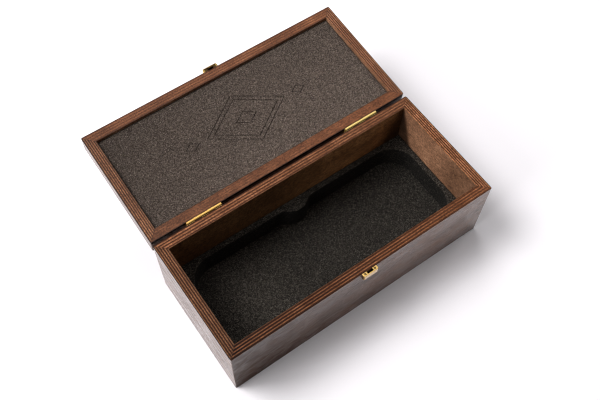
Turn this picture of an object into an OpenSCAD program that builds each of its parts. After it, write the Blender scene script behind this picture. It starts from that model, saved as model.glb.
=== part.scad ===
// Hinged wooden equipment case with a shallow lid, foam linings, two brass
// hinges on the back and one brass spring catch on the front.
// Millimetres. Origin: centre of the base's underside. +Z up, the catch side
// faces -Y, the hinges are on the +Y side, and the length runs along X.
// The lid is drawn turned back on its hinges by lid_open.

/* [Case] */
// Outside length of the case, left to right
case_l = 332; // [310:1:360]
// Outside depth of the case, front to back
case_d = 147; // [135:1:165]
// Height of the base, from its underside to its rim
base_h = 93.5; // [85:0.5:110]
// Height of the lid, from its rim to its top
lid_h = 21.5; // [20.5:0.5:26]
// Thickness of the plywood walls
wall_t = 12; // [11:0.5:13]
// Thickness of the panels that close the base and the lid
panel_t = 6.5; // [5.5:0.5:7.5]
// How far each panel is let into the walls
rebate = 6; // [4:0.5:7]
// Radius of the upright outer corners
corner_r = 1.6; // [1:0.1:3]
// Gap left between the two rims when the lid is shut
seam = 0.2; // [0.1:0.05:0.4]
// How far the lid is turned back from shut, in degrees
lid_open = 175.7; // [0:0.1:176]

/* [Foam] */
// Thickness of the foam sheet on the base's panel
sheet_t = 3; // [2:0.5:4]
// Height of the foam insert that stands on the sheet
insert_h = 31.8; // [25:0.1:38]
// Width of the foam left between the recess and the wooden walls
recess_rim = 7.4; // [6:0.1:9]
// Radius of the recess's corners
recess_r = 29; // [20:1:34]
// How far the rounded nose at the middle of each long side reaches in
nose_in = 8.8; // [6:0.1:12]
// Radius of that nose
nose_r = 21; // [17:1:26]
// Radius of the hollows where the nose leaves the long side
nose_fillet = 8; // [5:0.5:10]
// How far the lid's foam pad lies below the lid's rim
pad_drop = 3.4; // [2.5:0.1:3.8]
// Width of the lines pressed into the lid's foam pad
line_w = 1.1; // [0.8:0.1:1.6]
// Depth of the lines pressed into the lid's foam pad
line_d = 1; // [0.5:0.1:1.5]

/* [Hinges] */
// Length of each hinge
hinge_l = 42.4; // [38:0.2:46]
// Distance from the case's end to the outer end of each hinge
hinge_in = 41.9; // [30:0.1:60]
// Height of each hinge leaf from the pin's centre
leaf_h = 15.5; // [13:0.5:17]
// Thickness of each hinge leaf
leaf_t = 1.1; // [0.9:0.1:1.2]
// Distance from the wooden backs to the pin's centre
pin_off = 2; // [1.9:0.05:2.3]
// Outer radius of the hinge knuckles
knuckle_r = 1.7; // [1.5:0.05:1.8]
// Radius of the hinge pins
pin_r = 0.9; // [0.7:0.05:1]
// Number of screws in each leaf
leaf_screws = 3; // [2:1:3]

/* [Catch] */
// Width of both halves of the catch
catch_w = 18.2; // [16:0.2:20]
// How far the lower half stands out of the base
keeper_out = 4.3; // [4.1:0.1:5]
// Height of the lower half
keeper_h = 8.4; // [8:0.1:10]
// How far the upper half stands out of the lid
housing_out = 4.5; // [4.4:0.1:5]
// Height of the upper half
housing_h = 9; // [9:0.1:10]
// Width of the slot in both halves
slot_w = 6.9; // [6.5:0.1:7.5]
// Distance of the round inserts from the catch's middle
disc_x = 6.05; // [5.8:0.05:6.3]
// Radius of the round inserts
disc_r = 1.25; // [1:0.05:1.35]

/* [Hidden] */
$fn = 64;
e = 0.01;
hx = case_l / 2;
hy = case_d / 2;
inner_x = hx - wall_t;
inner_y = hy - wall_t;
axis_y = hy + pin_off;
axis_z = base_h + seam / 2;
lid_z = base_h + seam;
floor_z = panel_t + sheet_t;
insert_top = floor_z + insert_h;
rec_x = inner_x - recess_rim;
rec_y = inner_y - recess_rim;
hinge_x = hx - hinge_in - hinge_l / 2;
pitch = hinge_l / 5;
knuckle_gap = 0.15;
screw_step = hinge_l / (leaf_screws + 0.1);
screw_z = 9.2;
slot_back = 0.5;
slot_front = 3;
pivot_u = 1.75;
pivot_w = 4.3;

// ---- placing ----

// turns shut-lid shapes back about the hinge pins
module opened() {
    translate([0, axis_y, axis_z]) rotate([-lid_open, 0, 0]) translate([0, -axis_y, -axis_z]) children();
}

// a catch's own coordinates: x along the case, y outward from the wooden front, z up from the pins' height
module at_front() {
    translate([0, -hy, axis_z]) mirror([0, 1, 0]) children();
}

// ---- wooden carcass ----

module outline(h) {
    translate([-hx + corner_r, -hy, 0]) cube([case_l - 2 * corner_r, case_d, h]);
    translate([-hx, -hy + corner_r, 0]) cube([case_l, case_d - 2 * corner_r, h]);
    for (sx = [-1, 1], sy = [-1, 1])
        translate([sx * (hx - corner_r), sy * (hy - corner_r), 0]) cylinder(r = corner_r, h = h);
}

// a long mitred wall on the -Y side
module long_blank(h) {
    linear_extrude(height = h)
        polygon([[-hx, -hy], [hx, -hy], [inner_x, -inner_y], [-inner_x, -inner_y]]);
}

// a short mitred wall on the -X side
module short_blank(h) {
    linear_extrude(height = h)
        polygon([[-hx, hy], [-hx, -hy], [-inner_x, -inner_y], [-inner_x, inner_y]]);
}

module panel_blank() {
    translate([-inner_x - rebate, -inner_y - rebate, 0])
        cube([2 * (inner_x + rebate), 2 * (inner_y + rebate), panel_t]);
}

// where the panel is let in, with its outer face open
module panel_rebate() {
    translate([-inner_x - rebate, -inner_y - rebate, -1])
        cube([2 * (inner_x + rebate), 2 * (inner_y + rebate), panel_t + 1]);
}

module base_wall() {
    difference() {
        intersection() {
            outline(base_h);
            children();
        }
        panel_rebate();
    }
}

// the lid's walls stand rim down in the shut pose, with the panel on top
module lid_wall() {
    translate([0, 0, lid_z + lid_h]) mirror([0, 0, 1]) difference() {
        intersection() {
            outline(lid_h);
            children();
        }
        panel_rebate();
    }
}

module base_front_wall() {
    color("sienna") difference() {
        base_wall() long_blank(base_h);
        at_front() fixing_holes(-5.6);
    }
}

module base_back_wall() {
    color("sienna") difference() {
        base_wall() mirror([0, 1, 0]) long_blank(base_h);
        leaf_holes(-1);
    }
}

module base_left_wall() {
    color("peru") base_wall() short_blank(base_h);
}

module base_right_wall() {
    color("peru") base_wall() mirror([1, 0, 0]) short_blank(base_h);
}

module base_bottom_panel() {
    color("burlywood") panel_blank();
}

module lid_front_wall() {
    color("sienna") opened() difference() {
        lid_wall() long_blank(lid_h);
        at_front() fixing_holes(6.4);
    }
}

module lid_back_wall() {
    color("sienna") opened() difference() {
        lid_wall() mirror([0, 1, 0]) long_blank(lid_h);
        leaf_holes(1);
    }
}

module lid_left_wall() {
    color("peru") opened() lid_wall() short_blank(lid_h);
}

module lid_right_wall() {
    color("peru") opened() lid_wall() mirror([1, 0, 0]) short_blank(lid_h);
}

module lid_top_panel() {
    color("burlywood") opened() translate([0, 0, lid_z + lid_h - panel_t]) panel_blank();
}

// ---- foam ----

module base_foam_sheet() {
    color("dimgray") translate([-inner_x, -inner_y, panel_t]) cube([2 * inner_x, 2 * inner_y, sheet_t]);
}

// the rounded nose of foam at the middle of the +Y side of the recess
module nose(h) {
    cy = rec_y - nose_in + nose_r;
    fy = rec_y - nose_fillet;
    d = nose_r + nose_fillet - 0.02;
    fx = sqrt(d * d - pow(cy - fy, 2));
    tx = fx * (nose_r - 0.05) / d;
    ty = cy + (fy - cy) * (nose_r - 0.05) / d;
    difference() {
        union() {
            translate([0, cy, 0]) cylinder(r = nose_r, h = h);
            linear_extrude(height = h)
                polygon([[-fx, rec_y + 1], [-fx, rec_y], [-tx, ty], [tx, ty], [fx, rec_y], [fx, rec_y + 1]]);
        }
        for (s = [-1, 1])
            translate([s * fx, fy, -1]) cylinder(r = nose_fillet, h = h + 2);
    }
}

module recess(h) {
    difference() {
        union() {
            translate([-rec_x + recess_r, -rec_y, 0]) cube([2 * (rec_x - recess_r), 2 * rec_y, h]);
            translate([-rec_x, -rec_y + recess_r, 0]) cube([2 * rec_x, 2 * (rec_y - recess_r), h]);
            for (sx = [-1, 1], sy = [-1, 1])
                translate([sx * (rec_x - recess_r), sy * (rec_y - recess_r), 0]) cylinder(r = recess_r, h = h);
        }
        translate([0, 0, -1]) nose(h + 2);
        translate([0, 0, -1]) mirror([0, 1, 0]) nose(h + 2);
    }
}

module base_foam_insert() {
    color("gray") difference() {
        translate([-inner_x, -inner_y, floor_z]) cube([2 * inner_x, 2 * inner_y, insert_h]);
        translate([0, 0, floor_z - 1]) recess(insert_h + 2);
    }
}

// one pressed lozenge line, seen from the rim side
module lozenge(a, b) {
    difference() {
        linear_extrude(height = 4) polygon([[-a, 0], [0, -b], [a, 0], [0, b]]);
        k = line_w * sqrt(a * a + b * b);
        translate([0, 0, -1]) linear_extrude(height = 6)
            polygon([[-a + k / b, 0], [0, -b + k / a], [a - k / b, 0], [0, b - k / a]]);
    }
}

module lid_foam_pad() {
    color("gray") opened() difference() {
        translate([-inner_x, -inner_y, lid_z + pad_drop])
            cube([2 * inner_x, 2 * inner_y, lid_h - panel_t - pad_drop]);
        translate([0, 0, lid_z + pad_drop + line_d - 4]) {
            lozenge(52, 34);
            lozenge(43, 28);
            lozenge(14, 9);
            for (s = [-1, 1]) translate([s * 70, 0, 0]) lozenge(9, 6);
        }
    }
}

// ---- hinges ----

// the knuckles numbered from 0 to 4: the base leaf has the even ones, the lid leaf the odd ones
module knuckles(first) {
    for (i = [first:2:4])
        translate([-hinge_l / 2 + i * pitch + knuckle_gap / 2, 0, 0]) rotate([0, 90, 0])
            cylinder(r = knuckle_r, h = pitch - knuckle_gap);
}

// a leaf hanging down from the pin along the base's back; the other leaf is the same shape turned over
module leaf(first, bore_r) {
    other = 1 - first;
    difference() {
        union() {
            translate([-hinge_l / 2 + knuckle_gap / 2, -pin_off, -leaf_h])
                cube([hinge_l - knuckle_gap, leaf_t, leaf_h - knuckle_r - 0.35]);
            for (i = [first:2:4])
                translate([-hinge_l / 2 + i * pitch + knuckle_gap / 2, -pin_off, -leaf_h / 2])
                    cube([pitch - knuckle_gap, leaf_t, leaf_h / 2]);
            knuckles(first);
        }
        translate([-hinge_l, 0, 0]) rotate([0, 90, 0]) cylinder(r = bore_r, h = 2 * hinge_l);
        for (i = [0:leaf_screws - 1])
            translate([(i - (leaf_screws - 1) / 2) * screw_step, -pin_off, -screw_z]) {
                translate([0, -1, 0]) rotate([-90, 0, 0]) cylinder(r = 1.3, h = leaf_t + 2);
                translate([0, leaf_t - 0.85, 0]) rotate([-90, 0, 0]) cylinder(r1 = 1.3, r2 = 2.3, h = 0.851);
            }
    }
}

module base_leaf() {
    translate([0, axis_y, axis_z]) leaf(0, pin_r + 0.02);
}

module lid_leaf() {
    translate([0, axis_y, axis_z]) mirror([0, 0, 1]) leaf(1, pin_r + 0.05);
}

module hinge_pin() {
    translate([-hinge_l / 2 - 0.2, axis_y, axis_z]) rotate([0, 90, 0]) cylinder(r = pin_r, h = hinge_l + 0.4);
}

// countersunk wood screws of one side: dir is -1 for the base, 1 for the lid
module leaf_screw_set(dir) {
    for (s = [-1, 1], i = [0:leaf_screws - 1])
        translate([s * hinge_x + (i - (leaf_screws - 1) / 2) * screw_step, hy, axis_z + dir * screw_z])
            rotate([90, 0, 0]) difference() {
                union() {
                    translate([0, 0, -0.2]) cylinder(r = 1.05, h = 7.2);
                    translate([0, 0, 6.999]) cylinder(r1 = 1.05, r2 = 0.2, h = 2);
                    translate([0, 0, -leaf_t + 0.1]) cylinder(r1 = 2.05, r2 = 1.05, h = 0.85);
                }
                translate([-0.3, -3, -leaf_t - 1]) cube([0.6, 6, 1.45]);
            }
}

module leaf_holes(dir) {
    for (s = [-1, 1], i = [0:leaf_screws - 1])
        translate([s * hinge_x + (i - (leaf_screws - 1) / 2) * screw_step, hy + 1, axis_z + dir * screw_z])
            rotate([90, 0, 0]) cylinder(r = 1.1, h = 10.2);
}

module left_hinge_base_leaf() {
    color("gold") translate([-hinge_x, 0, 0]) base_leaf();
}

module right_hinge_base_leaf() {
    color("gold") translate([hinge_x, 0, 0]) base_leaf();
}

module left_hinge_lid_leaf() {
    color("goldenrod") opened() translate([-hinge_x, 0, 0]) lid_leaf();
}

module right_hinge_lid_leaf() {
    color("goldenrod") opened() translate([hinge_x, 0, 0]) lid_leaf();
}

module left_hinge_pin() {
    color("darkgoldenrod") translate([-hinge_x, 0, 0]) hinge_pin();
}

module right_hinge_pin() {
    color("darkgoldenrod") translate([hinge_x, 0, 0]) hinge_pin();
}

module hinge_base_screws() {
    color("darkgoldenrod") leaf_screw_set(-1);
}

module hinge_lid_screws() {
    color("darkgoldenrod") opened() leaf_screw_set(1);
}

// ---- catch ----
// everything below is drawn in a catch's own coordinates, see at_front

// a block standing out of the wood, with its outer upright corners cut back
module catch_block(out, h) {
    c = 1.1;
    linear_extrude(height = h)
        polygon([[-catch_w / 2, 0], [-catch_w / 2, out - c], [-catch_w / 2 + c, out],
                 [catch_w / 2 - c, out], [catch_w / 2, out - c], [catch_w / 2, 0]]);
}

// screws come through the wood from inside the case
module fixing_holes(w) {
    for (s = [-1, 1]) translate([s * disc_x, 0, w]) {
        translate([0, -wall_t - 1, 0]) rotate([-90, 0, 0]) cylinder(r = 1.1, h = wall_t + 2);
        translate([0, -wall_t - 1, 0]) rotate([-90, 0, 0]) cylinder(r = 2.2, h = 2.2);
    }
}

module fixing_screws(w) {
    for (s = [-1, 1]) translate([s * disc_x, 0, w]) {
        translate([0, -wall_t + 0.6, 0]) rotate([-90, 0, 0]) cylinder(r = 1, h = wall_t - 0.6 + 2.4);
        difference() {
            translate([0, -wall_t + 0.1, 0]) rotate([-90, 0, 0]) cylinder(r = 2, h = 1);
            translate([-0.3, -wall_t - 1, -3]) cube([0.6, 1.6, 6]);
        }
    }
}

module disc_sockets() {
    for (s = [-1, 1]) translate([s * disc_x, 1.8, -1.3]) cylinder(r = disc_r + 0.03, h = 2.6);
}

module catch_keeper() {
    top = -seam / 2;
    color("khaki") at_front() difference() {
        translate([0, 0, top - keeper_h]) catch_block(keeper_out, keeper_h);
        // slot for the tongue, with a window in its back plate for the tongue's nose
        translate([-slot_w / 2, slot_back, top - 6.4]) cube([slot_w, slot_front - slot_back, 7]);
        translate([-slot_w / 2 + 0.2, -1, top - 4.6]) cube([slot_w - 0.4, slot_back + 1.5, 2.5]);
        // lower outer edge cut back
        translate([-catch_w, keeper_out, top - keeper_h]) rotate([45, 0, 0]) translate([0, -1, -1]) cube([2 * catch_w, 2, 2]);
        for (s = [-1, 1]) {
            translate([s * disc_x, 1.8, top - 1.5]) cylinder(r = disc_r + 0.03, h = 3);
            translate([s * disc_x, -1, -5.6]) rotate([-90, 0, 0]) cylinder(r = 1.03, h = 3.6);
        }
    }
}

module keeper_discs() {
    color("silver") at_front() for (s = [-1, 1])
        translate([s * disc_x, 1.8, -seam / 2 - 1.49]) cylinder(r = disc_r, h = 1.24);
}

module keeper_screws() {
    color("darkgoldenrod") at_front() fixing_screws(-5.6);
}

module catch_housing() {
    low = seam / 2;
    color("khaki") opened() at_front() difference() {
        translate([0, 0, low]) catch_block(housing_out, housing_h);
        // slot that holds the tongue, open at the back and at the seam
        translate([-slot_w / 2, -1, low - 1]) cube([slot_w, slot_front + 1.15, housing_h - 0.6 + 1]);
        // round window for the push button
        translate([0, 2, 6.4]) rotate([-90, 0, 0]) cylinder(r = 2.1, h = 4);
        translate([-catch_w, housing_out, low + housing_h]) rotate([45, 0, 0]) translate([0, -1, -1]) cube([2 * catch_w, 2, 2]);
        for (s = [-1, 1]) {
            translate([s * disc_x, 1.8, low - 1.5]) cylinder(r = disc_r + 0.03, h = 3);
            translate([s * disc_x, -1, 6.4]) rotate([-90, 0, 0]) cylinder(r = 1.03, h = 3.6);
        }
        translate([-6.3, pivot_u, pivot_w]) rotate([0, 90, 0]) cylinder(r = 0.62, h = 12.6);
    }
}

module housing_discs() {
    color("silver") opened() at_front() for (s = [-1, 1])
        translate([s * disc_x, 1.8, seam / 2 + 0.25]) cylinder(r = disc_r, h = 1.24);
}

module housing_screws() {
    color("darkgoldenrod") opened() at_front() fixing_screws(6.4);
}

module catch_tongue() {
    wide = slot_w - 0.7;
    color("orange") opened() at_front() difference() {
        union() {
            // flat lever
            translate([-wide / 2, 0.75, -3.1]) cube([wide, 0.9, 11.2]);
            // boss round the pivot pin
            translate([-wide / 2, pivot_u, pivot_w]) rotate([0, 90, 0]) cylinder(r = 1.1, h = wide);
            // push button
            translate([0, 1.2, 6.4]) rotate([-90, 0, 0]) cylinder(r = 1.65, h = housing_out + 0.5 - 1.2);
            // nose that hooks into the keeper's back plate
            translate([-wide / 2 + 0.4, 0, 0]) rotate([90, 0, 90]) linear_extrude(height = wide - 0.8)
                polygon([[1, -3.1], [0.7, -3.1], [0.3, -2.7], [0.3, -2.4], [1, -2.4]]);
        }
        translate([-wide, pivot_u, pivot_w]) rotate([0, 90, 0]) cylinder(r = 0.63, h = 2 * wide);
    }
}

module catch_pivot_pin() {
    color("darkgoldenrod") opened() at_front() translate([-6.2, pivot_u, pivot_w]) rotate([0, 90, 0]) cylinder(r = 0.6, h = 12.4);
}

base_front_wall();
base_back_wall();
base_left_wall();
base_right_wall();
base_bottom_panel();
base_foam_sheet();
base_foam_insert();
lid_front_wall();
lid_back_wall();
lid_left_wall();
lid_right_wall();
lid_top_panel();
lid_foam_pad();
left_hinge_base_leaf();
right_hinge_base_leaf();
left_hinge_lid_leaf();
right_hinge_lid_leaf();
left_hinge_pin();
right_hinge_pin();
hinge_base_screws();
hinge_lid_screws();
catch_keeper();
keeper_discs();
keeper_screws();
catch_housing();
housing_discs();
housing_screws();
catch_tongue();
catch_pivot_pin();
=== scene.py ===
import math
import bpy
import bmesh
import numpy as np
from mathutils import Matrix, Vector, noise


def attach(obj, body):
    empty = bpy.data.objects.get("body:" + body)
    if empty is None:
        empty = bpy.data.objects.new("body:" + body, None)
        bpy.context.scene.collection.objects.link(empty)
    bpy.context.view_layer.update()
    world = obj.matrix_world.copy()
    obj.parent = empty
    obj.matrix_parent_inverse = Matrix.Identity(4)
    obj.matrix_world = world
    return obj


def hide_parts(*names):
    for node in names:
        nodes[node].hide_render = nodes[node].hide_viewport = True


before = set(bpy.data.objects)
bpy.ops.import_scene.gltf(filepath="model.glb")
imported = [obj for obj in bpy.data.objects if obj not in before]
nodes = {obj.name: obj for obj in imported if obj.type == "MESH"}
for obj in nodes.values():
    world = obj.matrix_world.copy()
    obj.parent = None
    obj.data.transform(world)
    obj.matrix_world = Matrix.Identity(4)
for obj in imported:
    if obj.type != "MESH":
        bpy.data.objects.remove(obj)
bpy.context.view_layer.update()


# ---------------------------------------------------------------- sizes, in metres
HX, HY = 0.166, 0.0735            # half the outside length and depth
WALL = 0.012                      # wall thickness
IX, IY = HX - WALL, HY - WALL     # inner faces
RIM = 0.0935                      # height of the base's rim
LID_Z = 0.0937                    # the lid's rim when shut
LID_H = 0.0215
PANEL = 0.0065
REBATE = 0.006
AX_Y, AX_Z = 0.0755, 0.0936       # hinge axis
OPEN = math.radians(175.7)
FLOOR_Z = 0.0095                  # top of the foam sheet
BED_Z = 0.0413                    # top of the foam insert
PAD_DROP = 0.0034                 # the pad's face below the lid's rim

# turns the lid's shut coordinates into its stored, opened ones
OPENED = (Matrix.Translation((0, AX_Y, AX_Z)) @ Matrix.Rotation(-OPEN, 4, "X")
          @ Matrix.Translation((0, -AX_Y, -AX_Z)))
SHUT = OPENED.inverted()

scene = bpy.context.scene


# ---------------------------------------------------------------- camera
cam_data = bpy.data.cameras.new("camera")
cam = bpy.data.objects.new("camera", cam_data)
scene.collection.objects.link(cam)
cam_data.sensor_fit = "HORIZONTAL"
cam_data.sensor_width = 36.0
cam_data.lens = 798.94 * 36.0 / 600.0
cam_data.clip_start = 0.02
cam_data.clip_end = 30.0
right = Vector((0.816984, -0.576474, 0.014627))
down = Vector((-0.499507, -0.720125, -0.481574))
fwd = Vector((0.288149, 0.386132, -0.876283))
m = Matrix.Identity(4)
for i in range(3):
    m[i][0], m[i][1], m[i][2] = right[i], -down[i], -fwd[i]
m.translation = Vector((-0.254369, -0.294086, 0.833056))
cam.matrix_world = m
scene.camera = cam

scene.view_settings.view_transform = "Standard"
scene.view_settings.look = "None"
scene.cycles.pixel_filter_type = "BLACKMAN_HARRIS"
scene.cycles.filter_width = 1.1


# ---------------------------------------------------------------- node helpers
class Graph:
    """A short way to write a material's nodes."""

    def __init__(self, name):
        self.mat = bpy.data.materials.new(name)
        self.mat.use_nodes = True
        self.t = self.mat.node_tree
        self.t.nodes.clear()
        self.out = self.t.nodes.new("ShaderNodeOutputMaterial")
        self.bsdf = self.t.nodes.new("ShaderNodeBsdfPrincipled")
        self.t.links.new(self.bsdf.outputs[0], self.out.inputs[0])

    def put(self, socket, value):
        if hasattr(value, "is_output"):
            self.t.links.new(value, socket)
        elif value is not None:
            socket.default_value = value

    def node(self, kind, inputs=(), **props):
        n = self.t.nodes.new(kind)
        for k, v in props.items():
            setattr(n, k, v)
        for k, v in (inputs.items() if isinstance(inputs, dict) else enumerate(inputs)):
            self.put(n.inputs[k], v)
        return n

    def math(self, op, a, b=None, c=None, clamp=False):
        n = self.node("ShaderNodeMath", [v for v in (a, b, c) if v is not None], operation=op)
        n.use_clamp = clamp
        return n.outputs[0]

    def mix(self, f, a, b, mode="MIX", clamp=False):
        n = self.t.nodes.new("ShaderNodeMix")
        n.data_type = "RGBA"
        n.blend_type = mode
        n.clamp_result = clamp
        self.put(n.inputs[0], f)
        for s, v in ((n.inputs[6], a), (n.inputs[7], b)):
            if isinstance(v, (tuple, list)):
                v = (*v[:3], 1.0)
            self.put(s, v)
        return n.outputs[2]

    def ramp(self, f, stops, mode="LINEAR"):
        n = self.t.nodes.new("ShaderNodeValToRGB")
        r = n.color_ramp
        r.interpolation = mode
        while len(r.elements) < len(stops):
            r.elements.new(0.5)
        for e, (p, c) in zip(r.elements, stops):
            e.position = p
            e.color = (*c[:3], 1.0) if isinstance(c, (tuple, list)) else (c, c, c, 1.0)
        self.put(n.inputs[0], f)
        return n.outputs[0]

    def smooth(self, v, lo, hi, a=0.0, b=1.0):
        n = self.node("ShaderNodeMapRange", {0: v, 1: lo, 2: hi, 3: a, 4: b}, interpolation_type="SMOOTHSTEP")
        return n.outputs[0]

    def lean(self, v, half, a, b):
        """Runs from a at -half to b at +half."""
        return self.node("ShaderNodeMapRange", {0: v, 1: -half, 2: half, 3: a, 4: b}, interpolation_type="LINEAR").outputs[0]

    def times(self, col, r, g=None, b=None):
        """A colour times one factor, or times three."""
        rgb = self.node("ShaderNodeCombineXYZ", [r, r if g is None else g, r if b is None else b]).outputs[0]
        return self.mix(1.0, col, rgb, "MULTIPLY")

    def coords(self, lid=False):
        """Object coordinates, turned back to the shut lid's for what rides on the lid."""
        c = self.node("ShaderNodeTexCoord").outputs["Object"]
        if not lid:
            return c
        e = SHUT.to_euler("XYZ")
        return self.node("ShaderNodeMapping", {0: c, 1: SHUT.translation, 2: (e.x, e.y, e.z)}, vector_type="POINT").outputs[0]

    def scaled(self, v, s, offset=(0, 0, 0)):
        return self.node("ShaderNodeMapping", {0: v, 1: offset, 3: s}, vector_type="POINT").outputs[0]

    def noise(self, v, scale, detail=2.0, rough=0.5, distortion=0.0, w=None):
        n = self.node("ShaderNodeTexNoise", {"Vector": v, "Scale": scale, "Detail": detail, "Roughness": rough, "Distortion": distortion})
        return n.outputs["Fac"]

    def bump(self, height, distance, strength=1.0, normal=None):
        n = self.node("ShaderNodeBump", {"Strength": strength, "Distance": distance, "Height": height})
        if normal is not None:
            self.put(n.inputs["Normal"], normal)
        return n.outputs[0]

    def principled(self, **inputs):
        for k, v in inputs.items():
            k = k.replace("_", " ")
            if isinstance(v, (tuple, list)) and len(v) == 3:
                v = (*v, 1.0)
            self.put(self.bsdf.inputs[k], v)
        return self.mat


# ---------------------------------------------------------------- wood
# along: 0 where the wall runs along X, 1 where it runs along Y
def grain(g, p, along, seed):
    """Returns broad figure, streaks and pores, each from 0 to 1, drawn out along the wall."""
    off = (seed * 1.37, seed * 0.71, seed * 2.13)
    if along == 0:
        s1, s2, s3 = (6, 26, 26), (14, 420, 420), (90, 2600, 2600)
    else:
        s1, s2, s3 = (26, 6, 26), (420, 14, 420), (2600, 90, 2600)
    broad = g.noise(g.scaled(p, s1, off), 1.0, 3.0, 0.55, 0.6)
    streak = g.noise(g.scaled(p, s2, off), 1.0, 3.0, 0.6, 0.3)
    pore = g.noise(g.scaled(p, s3, off), 1.0, 1.0, 0.5)
    return broad, streak, pore


def stained_face(name, along, lid, seed, tone=1.0, mottle=0.25, level=0.5, coat=0.0, even=False, rough=0.32, drift=None, corner=None, top=1.0, tint=(1.0, 1.0)):
    """Dark brown stain and satin lacquer on a birch face veneer."""
    g = Graph(name)
    p = g.coords(lid)
    broad, streak, pore = grain(g, p, along, seed)
    blotch = g.noise(g.scaled(p, (30, 30, 30), (seed, 0, seed)), 1.0, 4.0, 0.6, 0.4)
    long, wide = (270, 380) if mottle > 0.4 else (90, 420)
    fleck = g.noise(g.scaled(p, (long, wide, wide) if along == 0 else (wide, long, wide), (seed, seed, 0)), 1.0, 4.0, 0.7, 0.3)
    f = g.math("ADD", g.math("ADD", g.math("MULTIPLY", broad, 0.42 - 0.35 * mottle), g.math("MULTIPLY", streak, 0.33 - 0.42 * mottle)),
               g.math("ADD", g.math("MULTIPLY", blotch, 0.25 + 0.10 * mottle), g.math("MULTIPLY", fleck, 0.67 * mottle)))
    f = g.math("ADD", g.math("MULTIPLY", g.math("SUBTRACT", f, 0.5), 1.0 + 1.0 * mottle), 0.5)
    k = tone
    stops = [(0.32, (0.060, 0.027, 0.0150)), (0.46, (0.100, 0.046, 0.0250)), (0.56, (0.140, 0.066, 0.0365)), (0.68, (0.190, 0.096, 0.0560))]
    col = g.ramp(f, [(x, (rgb[0] * k, rgb[1] * k * tint[0], rgb[2] * k * tint[1])) for x, rgb in stops])
    dark = g.smooth(pore, 0.60, 0.72)
    col = g.mix(g.math("MULTIPLY", dark, 0.60), col, (0.030 * k, 0.014 * k, 0.009 * k))
    r = g.math("ADD", g.math("MULTIPLY", streak, 0.16), g.math("ADD", rough - 0.12, g.math("MULTIPLY", broad, 0.10)))
    h = g.math("ADD", g.math("MULTIPLY", streak, 0.6), g.math("MULTIPLY", g.math("SUBTRACT", 1.0, dark), 0.4))
    nrm = g.bump(h, 0.00007, 0.6)
    if mottle > 0.4:
        # unlacquered, so its pores show
        open_pore = g.noise(g.scaled(p, (560, 640, 640) if along == 0 else (640, 560, 640), (seed, 0, 0)), 1.0, 2.0, 0.65)
        col = g.times(col, *[g.smooth(open_pore, 0.30, 0.70, 0.68, 1.34)] * 3)
    x = g.node("ShaderNodeSeparateXYZ", [p])
    if drift:
        # painted light: the stain is drawn lighter toward the right or the back end, as the light falls off across the
        # wall
        change, x0, x1 = drift
        t = g.smooth(x.outputs[along], x0, x1, 1.0 - change, 1.0 + change)
        col = g.times(col, t, t, t)
    if corner:
        # painted shadow: the right back corner is drawn darker, more so low down
        c0, c1, low = corner
        u = g.math("ADD", x.outputs[along], g.math("MULTIPLY", g.math("SUBTRACT", RIM, x.outputs[2]), 0.4))
        t = g.smooth(u, c0, c1, 1.0, low)
        col = g.times(col, t, t, t)
    if top < 1.0:
        # painted shade: the back is drawn darker and duller along the hinge side, so that the gap between the halves
        # reads dark
        h0 = g.math("ABSOLUTE", g.math("SUBTRACT", x.outputs[2], RIM))
        t = g.smooth(h0, 0.0032, 0.0062, top, 1.0)
        col = g.mix(1.0, col, g.node("ShaderNodeCombineXYZ", [t, t, t]).outputs[0], "MULTIPLY")
        level = g.math("MULTIPLY", t, level)
    if coat:
        lo, hi = coat
        lacquer_and_painted_sheen = hi
        if not even:
            # painted sheen: the lacquer's gloss is drawn stronger toward the rim and the right and weaker low on the
            # left and at the left end, standing in for the lit and shaded floor it reflects
            u = g.math("ADD", g.math("MULTIPLY", x.outputs[2], 0.5 / 0.0935), g.math("MULTIPLY", g.math("ADD", x.outputs[0], HX), 0.25 / HX))
            end = g.smooth(x.outputs[0], -HX, -0.03, 0.50, 1.0)
            level = g.math("MULTIPLY", g.smooth(u, 0.05, 0.55, 0.12, level), end)
            lacquer_and_painted_sheen = g.math("MULTIPLY", g.smooth(u, 0.15, 0.85, lo, hi), end)
        figure = g.noise(g.scaled(p, ((30, 30, 115) if even else (45, 30, 80)) if along == 0 else (115, 30, 115), (seed, 3, seed)), 1.0, 4.0, 0.60, 0.8)
        lines = (0.30, 0.70) if even else (0.43, 0.57)
        v = g.math("ADD", g.smooth(streak, 0.34, 0.66, *lines), g.smooth(figure, 0.36, 0.64, 0.30, 0.70))
        coat = g.math("MULTIPLY", lacquer_and_painted_sheen, v, clamp=True)
        level = g.math("MULTIPLY", level, v)
        wave = g.math("ADD", g.math("MULTIPLY", streak, 1.1 if even else 0.10), g.math("MULTIPLY", figure, 1.0 if even else 1.3))
        nrm = g.bump(wave, 0.0010, 0.7)
        r = g.smooth(streak if even else figure, 0.36, 0.64, rough + 0.16, rough - 0.02)
        g.principled(Coat_Weight=coat, Coat_Roughness=g.smooth(figure, 0.36, 0.64, 0.34, 0.16), Coat_IOR=1.5, Coat_Normal=nrm)
    return g.principled(Base_Color=col, Roughness=r, Normal=nrm, IOR=1.50, Specular_IOR_Level=level)


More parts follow.
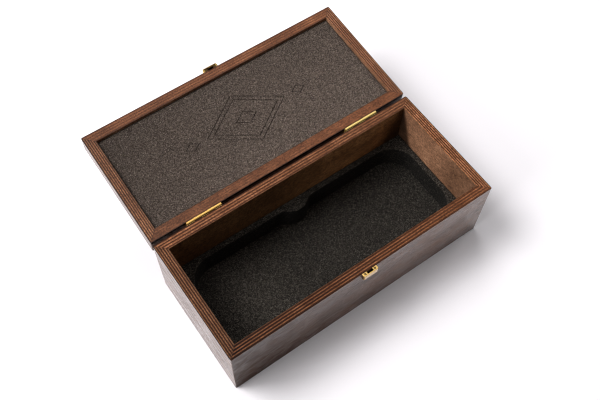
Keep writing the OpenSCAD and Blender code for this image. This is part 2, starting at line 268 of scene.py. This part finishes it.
def ply_edge(name, along, lid, seed, period, phase, gain, ratio, duty=0.0, ends=(1.0, 1.0), tint=(1.0, 1.0), arris=0.45):
    """The cut edge of the plywood. The stain brings its plies out more on some walls than on others, and each wall's
    gain and change from end to end also paint how the light falls on each rim.
    """
    g = Graph(name)
    p = g.coords(lid)
    x = g.node("ShaderNodeSeparateXYZ", [p])
    dx = g.math("SUBTRACT", HX, g.math("ABSOLUTE", x.outputs[0]))
    dy = g.math("SUBTRACT", HY, g.math("ABSOLUTE", x.outputs[1]))
    depth = dy if along == 0 else dx
    s = (18, 60, 60) if along == 0 else (60, 18, 60)
    off = (seed * 0.9, seed * 1.7, seed * 0.4)
    wander = g.noise(g.scaled(p, s, off), 1.0, 2.0, 0.5)
    d = g.math("ADD", depth, g.math("MULTIPLY", g.math("SUBTRACT", wander, 0.5), 0.0006))
    turn = g.math("DIVIDE", g.math("SUBTRACT", d, phase), period)
    wave = g.math("COSINE", g.math("MULTIPLY", turn, 2 * math.pi))
    light = g.smooth(wave, duty - 0.42, duty + 0.42)
    # long grain in the light plies, end grain in the dark ones
    sl = (40, 1500, 1500) if along == 0 else (1500, 40, 1500)
    fibre = g.noise(g.scaled(p, sl, off), 1.0, 3.0, 0.6)
    end = g.noise(g.scaled(p, (1500, 1500, 1500), off), 1.0, 2.0, 0.6)
    patch = g.noise(g.scaled(p, (45, 45, 45), off), 1.0, 3.0, 0.6)
    along_line = g.noise(g.scaled(p, (55, 330, 330) if along == 0 else (330, 55, 330), off), 1.0, 3.0, 0.6)
    f = g.math("ADD", g.math("ADD", g.math("MULTIPLY", fibre, 0.35), g.math("MULTIPLY", patch, 0.30)), g.math("MULTIPLY", along_line, 0.35))
    k = gain
    lcol = g.ramp(f, [(0.36, (0.140 * k, 0.050 * k, 0.020 * k)), (0.50, (0.255 * k, 0.098 * k, 0.041 * k)), (0.62, (0.400 * k, 0.170 * k, 0.080 * k))])
    q = ratio
    shade = g.mix(0.0, (q, q * (0.72 + 0.28 * q), q * (0.55 + 0.45 * q)), (0, 0, 0))
    if along == 0 and not lid:
        # and the dark plies stand out less toward the right
        shade = g.mix(g.lean(x.outputs[0], HX, 0.0, 0.34), (q, q * (0.72 + 0.28 * q), q * (0.55 + 0.45 * q)), (1.0, 1.0, 1.0))
    dcol = g.mix(1.0, g.ramp(g.math("ADD", g.math("MULTIPLY", end, 0.5), g.math("MULTIPLY", patch, 0.5)),
                             [(0.36, (0.170 * k, 0.062 * k, 0.028 * k)), (0.64, (0.330 * k, 0.130 * k, 0.064 * k))]), shade, "MULTIPLY")
    col = g.mix(light, dcol, lcol)
    # painted light falloff: the plies are drawn lighter toward one end than the other
    t = g.lean(x.outputs[along], HY if along else HX, *ends)
    col = g.times(col, t, g.math("MULTIPLY", t, tint[0]), g.math("MULTIPLY", t, tint[1]))
    # torn fibres and pores along the saw cut
    torn = g.noise(g.scaled(p, (560, 800, 800) if along == 0 else (800, 560, 800), off), 1.0, 2.0, 0.65)
    col = g.times(col, *[g.smooth(torn, 0.30, 0.70, *((0.45, 1.64) if along else (0.56, 1.49)))] * 3)
    # dark arris outside; the inner arris factor paints a highlight above 1 and shade below 1; thin dark line of glue at
    # the mitre
    arris = g.math("MULTIPLY", g.smooth(depth, 0.0002, 0.0012, 0.35, 1.0), g.smooth(depth, WALL - 0.0013, WALL - 0.0002, 1.0, arris))
    col = g.times(col, arris, arris, arris)
    mitre = g.smooth(g.math("ABSOLUTE", g.math("SUBTRACT", dx, dy)), 0.00010, 0.0004)
    col = g.mix(g.math("MULTIPLY", g.math("SUBTRACT", 1.0, mitre), 0.65), col, (0.02, 0.010, 0.007))
    rough = g.math("SUBTRACT", 0.60, g.math("MULTIPLY", light, 0.10))
    h = g.math("ADD", g.math("MULTIPLY", light, 0.5), g.math("MULTIPLY", end, 0.3))
    return g.principled(Base_Color=col, Roughness=rough, Normal=g.bump(h, 0.00008, 0.5), IOR=1.45, Specular_IOR_Level=0.24 if lid else 0.12)


# ---------------------------------------------------------------- foam
def foam(name, lid, base, light, dark, seed=0.0, lines=(), wall=0.28, flecks=2.2, spread=1.0, pad=False, sheet=False, gain=(1.0, 1.0, 1.0)):
    """Open-celled foam: dark cells about a millimetre across between lighter cell walls."""
    g = Graph(name)
    p = g.coords(lid)
    base, light, dark = (tuple(c * k for c, k in zip(rgb, gain)) for rgb in (base, light, dark))
    cells = g.node("ShaderNodeTexVoronoi", {"Vector": p, "Scale": 1200.0, "Randomness": 1.0}, feature="F1")
    speck = g.node("ShaderNodeSeparateColor", [cells.outputs["Color"]]).outputs[0]
    fine = g.noise(g.scaled(p, (1, 1, 1), (seed, seed, seed)), 1800.0, 2.0, 0.6)
    mid = g.noise(p, 700.0, 2.0, 0.5)
    broad = g.noise(p, 28.0, 3.0, 0.5)
    f = g.math("ADD", g.math("ADD", g.math("MULTIPLY", fine, 0.42), g.math("MULTIPLY", mid, 0.33)), g.math("MULTIPLY", speck, 0.25))
    col = g.ramp(f, [(0.50 - 0.20 * spread, dark), (0.50, base), (0.50 + 0.16 * spread, light)])
    tint = g.math("ADD", 0.88, g.math("MULTIPLY", broad, 0.24))
    at = g.node("ShaderNodeSeparateXYZ", [p])
    if pad:
        # painted light: the pad is drawn lighter toward the right and the hinges, as the light falls on it; its border
        # is painted dark, as the shadow of the walls
        tint = g.math("MULTIPLY", tint, g.smooth(at.outputs[0], -0.20, 0.04, 0.70, 1.09))
        tint = g.math("MULTIPLY", tint, g.lean(at.outputs[1], IY, 0.86, 1.14))
        border = g.math("MINIMUM", g.math("SUBTRACT", IX, g.math("ABSOLUTE", at.outputs[0])), g.math("SUBTRACT", IY, g.math("ABSOLUTE", at.outputs[1])))
        tint = g.math("MULTIPLY", tint, g.smooth(border, 0.0002, 0.0022, 0.40, 1.0))
    if sheet:
        # a painted pool of light, brightest about 92 mm left of the middle
        patch = g.smooth(g.math("ABSOLUTE", g.math("ADD", at.outputs[0], 0.092)), 0.010, 0.066, 1.34, 0.88)
        tint = g.math("MULTIPLY", tint, patch)
    # painted shade: upright faces, such as the cut walls of the recess, are drawn darker than the flat skin
    n = g.node("ShaderNodeSeparateXYZ", [g.node("ShaderNodeTexCoord").outputs["Normal"]]).outputs[2]
    tint = g.math("MULTIPLY", tint, g.smooth(g.math("ABSOLUTE", n), 0.15, 0.75, wall, 1.0))
    # lines pressed in
    if lines:
        x = g.node("ShaderNodeSeparateXYZ", [p])
        ay = g.math("ABSOLUTE", x.outputs[1])
        near = None
        for cx, a, b in lines:
            k = math.hypot(a, b) / (a * b)
            t = g.math("ADD", g.math("MULTIPLY", g.math("ABSOLUTE", g.math("SUBTRACT", x.outputs[0], cx)), 1 / a), g.math("MULTIPLY", ay, 1 / b))
            inside = g.math("DIVIDE", g.math("SUBTRACT", 1.0, t), k)
            dist = g.math("ABSOLUTE", g.math("SUBTRACT", inside, LINE / 2))
            near = dist if near is None else g.math("MINIMUM", near, dist)
        near = g.math("ADD", near, g.math("MULTIPLY", g.math("SUBTRACT", mid, 0.5), 0.0004))
        tint = g.math("MULTIPLY", tint, g.smooth(near, LINE * 0.22, LINE * 0.60, 0.26, 1.0))
    col = g.mix(1.0, col, g.node("ShaderNodeCombineXYZ", [tint, tint, tint]).outputs[0], "MULTIPLY")
    fleck = g.smooth(speck, 0.955, 0.985)
    col = g.mix(g.math("MULTIPLY", fleck, g.math("MULTIPLY", tint, 0.7)), col, tuple(c * flecks for c in light))
    h = g.math("ADD", g.math("MULTIPLY", cells.outputs["Distance"], 600.0), fine)
    return g.principled(Base_Color=col, Roughness=0.95, Normal=g.bump(h, 0.00035, 0.8), Specular_IOR_Level=0.2)


# ---------------------------------------------------------------- metal
def brass(name, lid, base=(0.96, 0.61, 0.23), rough=0.30, lines=(900, 900, 900), slot=None, coat=0.45, end_colour=None, seam=None, sides=1.0, metallic=1.0):
    """Lacquered brass; slot is a box, in shut coordinates, whose inside is painted dark as shade; sides darkens a hinge
    barrel's flank as a painted dark reflection.
    """
    g = Graph(name)
    p = g.coords(lid)
    fine = g.noise(g.scaled(p, lines), 1.0, 2.0, 0.6)
    spots = g.noise(p, 260.0, 4.0, 0.6)
    tarnish = g.smooth(spots, 0.50, 0.78)
    col = g.mix(g.math("MULTIPLY", tarnish, 0.35), base, (base[0] * 0.70, base[1] * 0.60, base[2] * 0.46))
    if end_colour:
        # painted reflection: its front is drawn pale, as if lit by the bright floor; its ends take the given colour,
        # which on the keeper is dark as painted shade
        n = g.node("ShaderNodeSeparateXYZ", [g.node("ShaderNodeTexCoord").outputs["Normal"]])
        front = g.smooth(g.math("ABSOLUTE", n.outputs[1]), 0.6, 0.95)
        ends = g.smooth(g.math("ABSOLUTE", n.outputs[0]), 0.5, 0.9)
        col = g.mix(front, col, (1.0, 0.76, 0.46))
        rough = g.math("ADD", rough, g.math("MULTIPLY", front, 0.28))
        metallic = g.math("SUBTRACT", metallic, g.math("MULTIPLY", front, 0.25))
        col = g.mix(ends, col, end_colour)
        coat = g.math("MULTIPLY", g.math("SUBTRACT", 1.0, ends), g.math("ADD", coat, g.math("MULTIPLY", front, 0.5)))
        if seam:
            # the face that meets the other half
            col = g.mix(g.smooth(n.outputs[2], 0.90, 0.98), col, seam)
    if sides < 1.0:
        # painted dark reflection: the flank that the barrel turns to the case's front in the stored pose is drawn dark,
        # standing in for the dark gap it reflects; the flat leaves stay bright
        n = g.node("ShaderNodeSeparateXYZ", [g.node("ShaderNodeTexCoord").outputs["Normal"]])
        flank = g.smooth(n.outputs[1], -0.90, -0.72, 1.0 - sides, 0.0)
        off = g.math("ABSOLUTE", g.math("SUBTRACT", g.node("ShaderNodeSeparateXYZ", [p]).outputs[2], 0.0936))
        flank = g.math("MULTIPLY", flank, g.smooth(off, 0.0014, 0.0019, 1.0, 0.0))
        col = g.mix(flank, col, (0.045, 0.020, 0.010))
        coat = g.math("MULTIPLY", g.math("SUBTRACT", 1.0, flank), coat)
    r = g.math("ADD", g.math("MULTIPLY", fine, 0.10), g.math("SUBTRACT", g.math("ADD", g.math("MULTIPLY", tarnish, 0.12), rough), 0.05))
    # painted shade: inside the slot box the brass is drawn near black
    if slot:
        x = g.node("ShaderNodeSeparateXYZ", [p])
        inside = None
        for k, (lo, hi) in enumerate(slot):
            mid, half = (lo + hi) / 2, (hi - lo) / 2
            near = g.smooth(g.math("ABSOLUTE", g.math("SUBTRACT", x.outputs[k], mid)), half, half + 0.00025, 1.0, 0.0)
            inside = near if inside is None else g.math("MULTIPLY", inside, near)
        col = g.mix(inside, col, (0.045, 0.024, 0.010))
        coat = g.math("MULTIPLY", g.math("SUBTRACT", 1.0, inside), coat)
    return g.principled(Base_Color=col, Metallic=metallic, Roughness=r, Normal=g.bump(fine, 0.00001, 0.35), Coat_Weight=coat, Coat_Roughness=0.20)


def steel(name, lid, base=(0.30, 0.22, 0.12)):
    g = Graph(name)
    p = g.coords(lid)
    fine = g.noise(p, 2400.0, 2.0, 0.6)
    r = g.math("ADD", g.math("MULTIPLY", fine, 0.18), 0.20)
    return g.principled(Base_Color=base, Metallic=1.0, Roughness=r, Normal=g.bump(fine, 0.00001, 0.3))


# ---------------------------------------------------------------- mesh helpers
def add_object(name, bm_or_mesh, materials):
    if isinstance(bm_or_mesh, bmesh.types.BMesh):
        mesh = bpy.data.meshes.new(name)
        bm_or_mesh.to_mesh(mesh)
        bm_or_mesh.free()
    else:
        mesh = bm_or_mesh
    for mat in materials:
        mesh.materials.append(mat)
    o = bpy.data.objects.new(name, mesh)
    scene.collection.objects.link(o)
    return o


def finish_normals(o, angle=32.0):
    o.data.shade_smooth()
    o.data.set_sharp_from_angle(angle=math.radians(angle))
    w = o.modifiers.new("weighted", "WEIGHTED_NORMAL")
    w.keep_sharp = True
    w.weight = 80


def cad_bmesh(node):
    """The CAD node's mesh as clean flat faces, ready to be bevelled."""
    bm = bmesh.new()
    bm.from_mesh(nodes[node].data)
    bmesh.ops.remove_doubles(bm, verts=bm.verts, dist=3e-6)
    bmesh.ops.dissolve_limit(bm, angle_limit=math.radians(0.4), verts=bm.verts, edges=bm.edges)
    bm.normal_update()
    return bm


def place(o, body, slot, *replaced):
    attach(o, body)
    if replaced:
        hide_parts(*replaced)
    return o


def shut_co(v, lid):
    return SHUT @ v if lid else v


# ---------------------------------------------------------------- wooden walls and panels
def on_mitre(v, lid):
    c = shut_co(v, lid)
    return abs((HX - abs(c.x)) - (HY - abs(c.y))) < 2.5e-5


def wood_wall(node, name, lid, along, face_mat, edge_mat, inner_mat, width=0.00055):
    bm = cad_bmesh(node)
    turn = SHUT.to_3x3() if lid else Matrix.Identity(3)
    chosen = []
    for e in bm.edges:
        if len(e.link_faces) != 2 or e.calc_length() < 0.0045:
            continue
        if e.calc_face_angle(0.0) < math.radians(50):
            continue
        if on_mitre(e.verts[0].co, lid) and on_mitre(e.verts[1].co, lid):
            continue
        chosen.append(e)
    bmesh.ops.bevel(bm, geom=chosen, offset=width, offset_type="OFFSET", segments=3, profile=0.5, affect="EDGES", clamp_overlap=True)
    bm.normal_update()
    for f in bm.faces:
        n = turn @ f.normal
        c = shut_co(f.calc_center_median(), lid)
        inward = n.x * c.x < 0 if along else n.y * c.y < 0
        f.material_index = 1 if abs(n.z) > 0.30 else (2 if inward else 0)
    o = add_object(name, bm, [face_mat, edge_mat, inner_mat])
    finish_normals(o)
    return o


# node, lid, along, seed, then the plies: period, phase, gain (partly painted light), dark to light, duty, gain at both
# ends (a painted light falloff), tint of green and blue, inner arris (a painted highlight above 1, painted shade below
# 1)
walls = [
    ("base_front_wall", False, 0, 1.0, 0.00300, 0.00280, 0.78, 0.08, 0.34, (0.66, 1.08), (0.95, 0.91)),
    ("base_back_wall", False, 0, 2.0, 0.00320, 0.00240, 0.84, 0.24, -0.02, (1.00, 0.68), (1.00, 1.02)),
    ("base_left_wall", False, 1, 3.0, 0.00255, 0.00130, 0.59, 0.20, 0.10, (0.72, 1.12), (1.07, 1.09)),
    ("base_right_wall", False, 1, 4.0, 0.00244, 0.00150, 0.97, 0.12, -0.26, (0.98, 0.90), (1.06, 1.10), 1.15),
    ("lid_front_wall", True, 0, 5.0, 0.00310, 0.00290, 0.57, 0.68, 0.00, (0.96, 1.15), (0.95, 0.90)),
    ("lid_back_wall", True, 0, 6.0, 0.00300, 0.00200, 0.48, 0.86, 0.00, (0.80, 1.30), (0.93, 0.87)),
    ("lid_left_wall", True, 1, 7.0, 0.00235, 0.00205, 0.60, 0.24, 0.00, (0.95, 1.17), (1.06, 1.05), 0.30),
    ("lid_right_wall", True, 1, 8.0, 0.00244, 0.00130, 0.80, 0.16, -0.18, (1.02, 0.98), (1.05, 1.12), 1.15),
]
OUTER = dict(tone=0.85, mottle=0.15, level=0.55)
for node, lid, along, seed, *plies in walls:
    body = "lid" if lid else "base"
    outer, inner = dict(OUTER), dict(tone=2.2, mottle=0.60, level=0.18, rough=0.50, tint=(1.08, 1.10))
    if node == "base_front_wall":
        outer.update(tone=0.95, coat=(0.0, 0.86), level=0.58, rough=0.30, drift=(0.50, -0.16, 0.10))
    # painted shade: the back walls' outer faces are drawn darker and duller, and top paints a dark band into the hinge
    # gap
    elif node == "base_back_wall":
        outer.update(tone=0.7, level=0.30, rough=0.40, top=0.55)
        inner.update(tone=2.05, level=0.10, drift=(0.44, -0.04, 0.09), corner=(0.132, 0.158, 0.2), tint=(1.14, 0.88))
    elif node == "lid_back_wall":
        outer.update(tone=0.7, level=0.30, rough=0.40, top=0.14)
    elif node == "lid_front_wall":
        outer.update(tone=1.0, coat=(0.0, 0.70), even=True)
    elif along == 1:
        outer.update(coat=(0.0, 0.70), even=True, tone=1.0)
    if node == "base_right_wall":
        inner.update(tone=2.05, drift=(0.28, -0.055, 0.03), corner=(0.0575, 0.0665, 0.2))
    o = wood_wall(node, "wood_" + node, lid, along,
                  stained_face("stain_" + node, along, lid, seed, **outer),
                  ply_edge("plies_" + node, along, lid, seed, *plies),
                  stained_face("inside_" + node, along, lid, seed + 20.0, **inner))
    place(o, body, "plywood", node)


def wood_panel(node, name, lid, seed):
    bm = cad_bmesh(node)
    edges = [e for e in bm.edges if e.calc_length() > 0.02 and e.calc_face_angle(0.0) > 1.0]
    bmesh.ops.bevel(bm, geom=edges, offset=0.00025, offset_type="OFFSET", segments=2, profile=0.5, affect="EDGES")
    o = add_object(name, bm, [stained_face("stain_" + node, 0, lid, seed, tone=1.1, mottle=0.20, level=0.5)])
    finish_normals(o)
    return o


place(wood_panel("base_bottom_panel", "wood_bottom_panel", False, 9.0), "base", "panel_plywood", "base_bottom_panel")
place(wood_panel("lid_top_panel", "wood_top_panel", True, 10.0), "lid", "panel_plywood", "lid_top_panel")


# ---------------------------------------------------------------- foam pieces
def slab(x0, x1, y0, y1, z0, step, top):
    """A closed slab whose top is a fine grid at height top(x, y)."""
    nx = max(2, round((x1 - x0) / step))
    ny = max(2, round((y1 - y0) / step))
    xs = np.linspace(x0, x1, nx + 1)
    ys = np.linspace(y0, y1, ny + 1)
    verts = [(x, y, top(x, y)) for y in ys for x in xs]
    w = nx + 1
    faces = [(j * w + i, j * w + i + 1, (j + 1) * w + i + 1, (j + 1) * w + i) for j in range(ny) for i in range(nx)]
    ring = ([i for i in range(nx + 1)] + [j * w + nx for j in range(1, ny + 1)]
            + [ny * w + i for i in range(nx - 1, -1, -1)] + [j * w for j in range(ny - 1, 0, -1)])
    low = len(verts)
    verts += [(verts[i][0], verts[i][1], z0) for i in ring]
    n = len(ring)
    faces += [(ring[(k + 1) % n], ring[k], low + k, low + (k + 1) % n) for k in range(n)]
    faces.append(tuple(low + k for k in range(n))[::-1])
    mesh = bpy.data.meshes.new("slab")
    mesh.from_pydata(verts, [], faces)
    mesh.update()
    return mesh


def ripple(x, y, z=0.0):
    """Slow and fine unevenness of a foam face, about -1 to 1."""
    return (0.6 * noise.noise(Vector((x * 35, y * 35, z * 35 + 3.1)))
            + 0.4 * noise.noise(Vector((x * 420, y * 420, z * 420))))


# lozenges pressed into the lid's pad
LOZENGES = [(0.0, 0.052, 0.034), (0.0, 0.043, 0.028), (0.0, 0.014, 0.009), (-0.070, 0.009, 0.006), (0.070, 0.009, 0.006)]
LINE = 0.0011
# the bed's foam is drawn several times darker than the pad's, partly as painted shade for the deep well
BED_FOAM = dict(base=(0.044, 0.0385, 0.033), light=(0.170, 0.151, 0.131), dark=(0.006, 0.005, 0.0042), flecks=1.3, spread=1.10)
LID_FOAM = dict(base=(0.158, 0.122, 0.103), light=(0.310, 0.246, 0.208), dark=(0.056, 0.043, 0.035), flecks=1.6, spread=0.72, pad=True)
foam_bed = foam("foam_bed", False, seed=1.0, gain=(1.12, 1.08, 1.02), **BED_FOAM)
foam_sheet = foam("foam_sheet", False, seed=2.0, sheet=True, gain=(1.06, 1.04, 1.00), **BED_FOAM)
foam_lid = foam("foam_lid", True, seed=3.0, lines=LOZENGES, gain=(1.04, 1.01, 0.98), **LID_FOAM)


def sheet_top(x, y):
    return FLOOR_Z - 0.00016 + 0.00012 * ripple(x, y)


mesh = slab(-IX + 0.0002, IX - 0.0002, -IY + 0.0002, IY - 0.0002, PANEL + 0.00002, 0.0012, sheet_top)
mesh.name = "foam_floor_sheet"
sheet_piece = add_object("foam_floor_sheet", mesh, [foam_sheet])
sheet_piece.data.shade_smooth()
sheet_piece.data.set_sharp_from_angle(angle=math.radians(60))
place(sheet_piece, "base", "base_foam", "base_foam_sheet")


def foam_insert():
    bm = bmesh.new()
    bm.from_mesh(nodes["base_foam_insert"].data)
    bmesh.ops.remove_doubles(bm, verts=bm.verts, dist=3e-6)
    mesh = bpy.data.meshes.new("foam_insert")
    bm.to_mesh(mesh)
    bm.free()
    o = bpy.data.objects.new("foam_insert_work", mesh)
    scene.collection.objects.link(o)
    r = o.modifiers.new("voxels", "REMESH")
    r.mode = "VOXEL"
    r.voxel_size = 0.00115
    r.adaptivity = 0.0
    dg = bpy.context.evaluated_depsgraph_get()
    done = bpy.data.meshes.new_from_object(o.evaluated_get(dg), depsgraph=dg)
    bpy.data.objects.remove(o)
    bm = bmesh.new()
    bm.from_mesh(done)
    bpy.data.meshes.remove(done)
    for _ in range(2):
        bmesh.ops.smooth_vert(bm, verts=bm.verts, factor=0.5, use_axis_x=True, use_axis_y=True, use_axis_z=True)
    bm.normal_update()
    for v in bm.verts:
        c, n = v.co.copy(), v.normal
        k = 0.00022 * ripple(c.x, c.y, c.z) - 0.00018
        c += n * k
        c.x = max(-IX + 0.0001, min(IX - 0.0001, c.x))
        c.y = max(-IY + 0.0001, min(IY - 0.0001, c.y))
        c.z = max(FLOOR_Z, min(BED_Z, c.z))
        v.co = c
    o = add_object("foam_bed_insert", bm, [foam_bed])
    o.data.shade_smooth()
    return o


bed = place(foam_insert(), "base", "base_foam", "base_foam_insert")


# how deep a point lies in the pad's pressed lines, 0 to 1
def groove(x, y):
    best = 1.0
    for cx, a, b in LOZENGES:
        k = math.hypot(a, b) / (a * b)
        inside = (1 - abs(x - cx) / a - abs(y) / b) / k      # distance inward from the lozenge's side
        best = min(best, abs(inside - LINE / 2))
    t = max(0.0, 1 - best / (LINE * 0.62))
    return t * t * (3 - 2 * t)


def pad_face(x, y):
    """The pad's face in shut coordinates: it lies rim-side down, so a smaller z stands prouder."""
    ex, ey = IX - abs(x), IY - abs(y)
    edge = 0.0006 * math.exp(-ex / 0.0012) + 0.0006 * math.exp(-ey / 0.0012)
    crown = 0.00025 * (1 - (x / IX) ** 2) * (1 - (y / IY) ** 2)
    return 0.00035 + edge - crown + 0.00010 * ripple(x, y) + 0.0010 * groove(x, y)


def lid_pad():
    z_face, z_back = LID_Z + PAD_DROP, LID_Z + LID_H - PANEL
    # drawn upside down, as a slab whose top is the pad's face, then turned over
    mesh = slab(-IX + 0.0002, IX - 0.0002, -IY + 0.0002, IY - 0.0002, -(z_back - z_face) + 0.00002, 0.00055, lambda x, y: -pad_face(x, -y))
    flip = Matrix.Translation((0, 0, z_face)) @ Matrix.Rotation(math.pi, 4, "X")
    mesh.transform(OPENED @ flip)
    mesh.name = "foam_lid_pad"
    return mesh


pad = add_object("foam_lid_pad", lid_pad(), [foam_lid])
pad.data.shade_smooth()
pad.data.set_sharp_from_angle(angle=math.radians(60))
place(pad, "lid", "lid_foam", "lid_foam_pad")


# ---------------------------------------------------------------- metal pieces
def metal(node, body, mat, slot, width, segments=2, angle=30.0, shortest=0.0):
    """A copy of the CAD node with its sharp edges broken."""
    bm = cad_bmesh(node)
    edges = [e for e in bm.edges if len(e.link_faces) == 2 and e.calc_face_angle(0.0) > math.radians(angle) and e.calc_length() >= shortest]
    if width:
        bmesh.ops.bevel(bm, geom=edges, offset=width, offset_type="OFFSET", segments=segments, profile=0.5, affect="EDGES", clamp_overlap=True)
    o = add_object("metal_" + node, bm, [mat])
    finish_normals(o)
    return place(o, body, slot, node)


# the slots of the two halves of the catch, in shut coordinates
SLOT_X = (-0.00360, 0.00360)
KEEPER_SLOT = (SLOT_X, (-HY - 0.00290, -HY + 0.002), (RIM - 0.0080, RIM + 0.001))
HOUSING_SLOT = ((-0.00720, 0.00720), (-HY - 0.00385, -HY + 0.002), (LID_Z - 0.001, LID_Z + 0.0086))
brass_hinge = brass("brass_hinge", False, base=(0.92, 0.55, 0.15), rough=0.42, coat=0.25, sides=0.03, metallic=0.7)
brass_hinge_lid = brass("brass_hinge_lid", True, base=(0.92, 0.55, 0.15), rough=0.42, coat=0.25, sides=0.45, metallic=0.7)
# the right hinge is a little brighter than the left one: a lit copy of the same brass, painting the brighter light on
# it
brass_hinge_lit = brass("brass_hinge_lit", False, base=(1.0, 0.745, 0.245), rough=0.38, coat=0.5, sides=0.03, metallic=0.7)
brass_hinge_lid_lit = brass("brass_hinge_lid_lit", True, base=(1.0, 0.745, 0.245), rough=0.38, coat=0.5, sides=0.45, metallic=0.7)
brass_pin = brass("brass_pin", False, base=(0.84, 0.56, 0.23), rough=0.30)
brass_base = brass("brass_base", False, base=(0.88, 0.57, 0.18), slot=KEEPER_SLOT, end_colour=(0.20, 0.10, 0.02))
brass_lid = brass("brass_lid", True, base=(0.45, 0.29, 0.11), rough=0.38, slot=HOUSING_SLOT, coat=0.1, end_colour=(0.90, 0.60, 0.24), seam=(0.27, 0.175, 0.05))
screw_base = brass("brass_screw_base", False, base=(0.80, 0.56, 0.25), rough=0.34)
screw_lid = brass("brass_screw_lid", True, base=(0.80, 0.56, 0.25), rough=0.34)
steel_base = steel("steel_base", False, base=(0.25, 0.16, 0.06))
steel_lid = steel("steel_lid", True, base=(0.055, 0.038, 0.014))

for side in ("left", "right"):
    # the right hinge takes the lit copy of the brass, painting its brighter light
    new = side == "right"
    metal(side + "_hinge_base_leaf", "base", brass_hinge_lit if new else brass_hinge, "brass", 0.00012)
    metal(side + "_hinge_lid_leaf", "lid", brass_hinge_lid_lit if new else brass_hinge_lid, "brass", 0.00012)
    metal(side + "_hinge_pin", "base", brass_pin, "brass", 0.00012)
metal("hinge_base_screws", "base", screw_base, "brass_screws", 0.0)
metal("hinge_lid_screws", "lid", screw_lid, "brass_screws", 0.0)
metal("catch_keeper", "base", brass_base, "brass", 0.00016)
metal("keeper_discs", "base", steel_base, "steel", 0.00008)
metal("keeper_screws", "base", screw_base, "brass_screws", 0.0)
metal("catch_housing", "lid", brass_lid, "brass", 0.00016)
metal("housing_discs", "lid", steel_lid, "steel", 0.00008)
metal("housing_screws", "lid", screw_lid, "brass_screws", 0.0)
metal("catch_pivot_pin", "lid", steel_lid, "steel", 0.0)
metal("catch_tongue", "tongue", brass("brass_tongue", True, base=(0.085, 0.048, 0.018), rough=0.38, coat=0.0), "brass", 0.00008)


# ---------------------------------------------------------------- floor and light
floor_mesh = bpy.data.meshes.new("floor")
floor_mesh.from_pydata([(-6, -6, -0.0002), (6, -6, -0.0002), (6, 6, -0.0002), (-6, 6, -0.0002)], [], [(0, 1, 2, 3)])
g = Graph("floor_white")
floor_mesh.materials.append(g.principled(Base_Color=(0.925, 0.895, 0.925), Roughness=0.9, Specular_IOR_Level=0.1))
floor = bpy.data.objects.new("floor", floor_mesh)
scene.collection.objects.link(floor)

world = bpy.data.worlds.new("studio")
scene.world = world
world.use_nodes = True
bg = world.node_tree.nodes["Background"]
bg.inputs[0].default_value = (1.0, 1.0, 1.0, 1.0)
bg.inputs[1].default_value = 0.05


def area(name, at, look, size, watts, size_y=None, colour=(1, 1, 1)):
    d = bpy.data.lights.new(name, "AREA")
    d.shape = "RECTANGLE"
    d.size = size
    d.size_y = size_y or size
    d.energy = watts
    d.color = colour
    o = bpy.data.objects.new(name, d)
    scene.collection.objects.link(o)
    o.location = at
    o.rotation_euler = (Vector(look) - Vector(at)).to_track_quat("-Z", "Y").to_euler()
    return o


def polar(az, el, r):
    a, e = math.radians(az), math.radians(el)
    return (r * math.cos(e) * math.cos(a), r * math.cos(e) * math.sin(a) + 0.05, r * math.sin(e) + 0.05)


CENTRE = (0, 0.05, 0.05)
area("key", polar(141, 56, 3.4), CENTRE, 1.55, 112.0)
area("left_fill", polar(180, 30, 3.4), CENTRE, 1.55, 52.0)
area("right_fill", polar(0, 30, 3.4), CENTRE, 1.55, 26.0)
area("overhead", (0.30, 0.40, 1.45), (0.30, 0.40, 0), 0.50, 1.8, size_y=1.1)
area("back_strip", (0.45, 1.05, 1.15), CENTRE, 0.90, 5.0, size_y=0.60)


# ---------------------------------------------------------------- end
bpy.context.view_layer.update()
